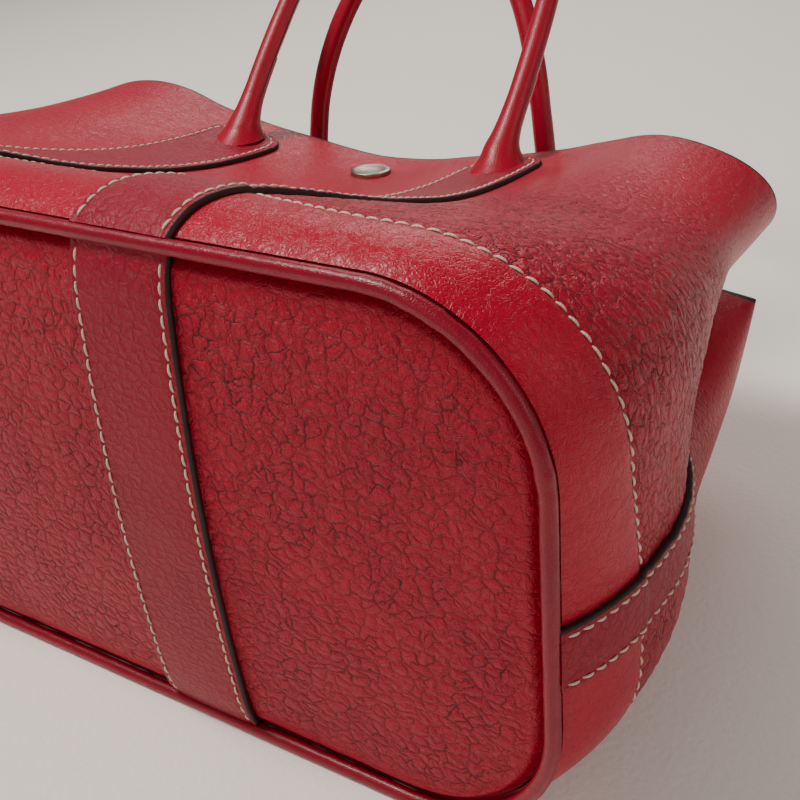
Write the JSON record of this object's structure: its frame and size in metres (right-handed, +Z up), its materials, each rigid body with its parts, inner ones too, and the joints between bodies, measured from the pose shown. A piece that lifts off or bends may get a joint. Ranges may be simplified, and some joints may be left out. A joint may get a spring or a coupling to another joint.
{
  "type": "tote handbag",
  "caption": "Red pebbled leather tote handbag lying on its back, with piped bottom, stitched straps, folded sides, a centre snap and rolled handles that swing.",
  "frame": {"origin": "centre of the bounding box, on the surface that the back panel lies on", "axes": "+X along the bag's length, +Y from the bottom panel towards the mouth, +Z up from the back panel to the front panel"},
  "size_m": [0.385, 0.3444, 0.2694],
  "materials": {
    "body_leather": "pebbled, satin",
    "strap_leather": "fine grain, satin, painted edges",
    "handle_leather": "smooth, semi-gloss",
    "piping_leather": "smooth, semi-gloss",
    "facing_leather": "smooth, matte",
    "lining": "woven, matte",
    "board": "matte",
    "cord": "twisted cotton",
    "snap_metal": "plated, slightly worn"
  },
  "bodies": {
    "bag": {"back_base_stiffener": "board", "back_facing": "facing_leather", "back_lining": "lining", "back_panel": "body_leather", "back_snap_cap": "snap_metal", "back_snap_stud": "snap_metal", "back_strap_left": "strap_leather", "back_strap_right": "strap_leather", "bottom_board": "board", "bottom_lining": "lining", "bottom_panel": "body_leather", "bottom_strap_left": "strap_leather", "bottom_strap_right": "strap_leather", "front_base_stiffener": "board", "front_facing": "facing_leather", "front_lining": "lining", "front_panel": "body_leather", "front_snap_cap": "snap_metal", "front_snap_socket": "snap_metal", "front_strap_left": "strap_leather", "front_strap_right": "strap_leather", "piping_cord": "cord", "piping_cover": "piping_leather", "side_strip_left": "strap_leather", "side_strip_right": "strap_leather"},
    "front_handle": {"front_handle_cover": "handle_leather", "front_handle_core": "cord"},
    "back_handle": {"back_handle_cover": "handle_leather", "back_handle_core": "cord"}
  },
  "joints": [
    {"name": "front_handle_swing", "type": "hinge", "parent": "bag", "child": "front_handle", "pos_m": [0, 0.0334, 0.12455], "axis": [1, 0, 0], "range_deg": [-27, 108]},
    {"name": "back_handle_swing", "type": "hinge", "parent": "bag", "child": "back_handle", "pos_m": [0, 0.05096, 0.01649], "axis": [1, 0, 0], "range_deg": [-58, 2]}
  ]
}
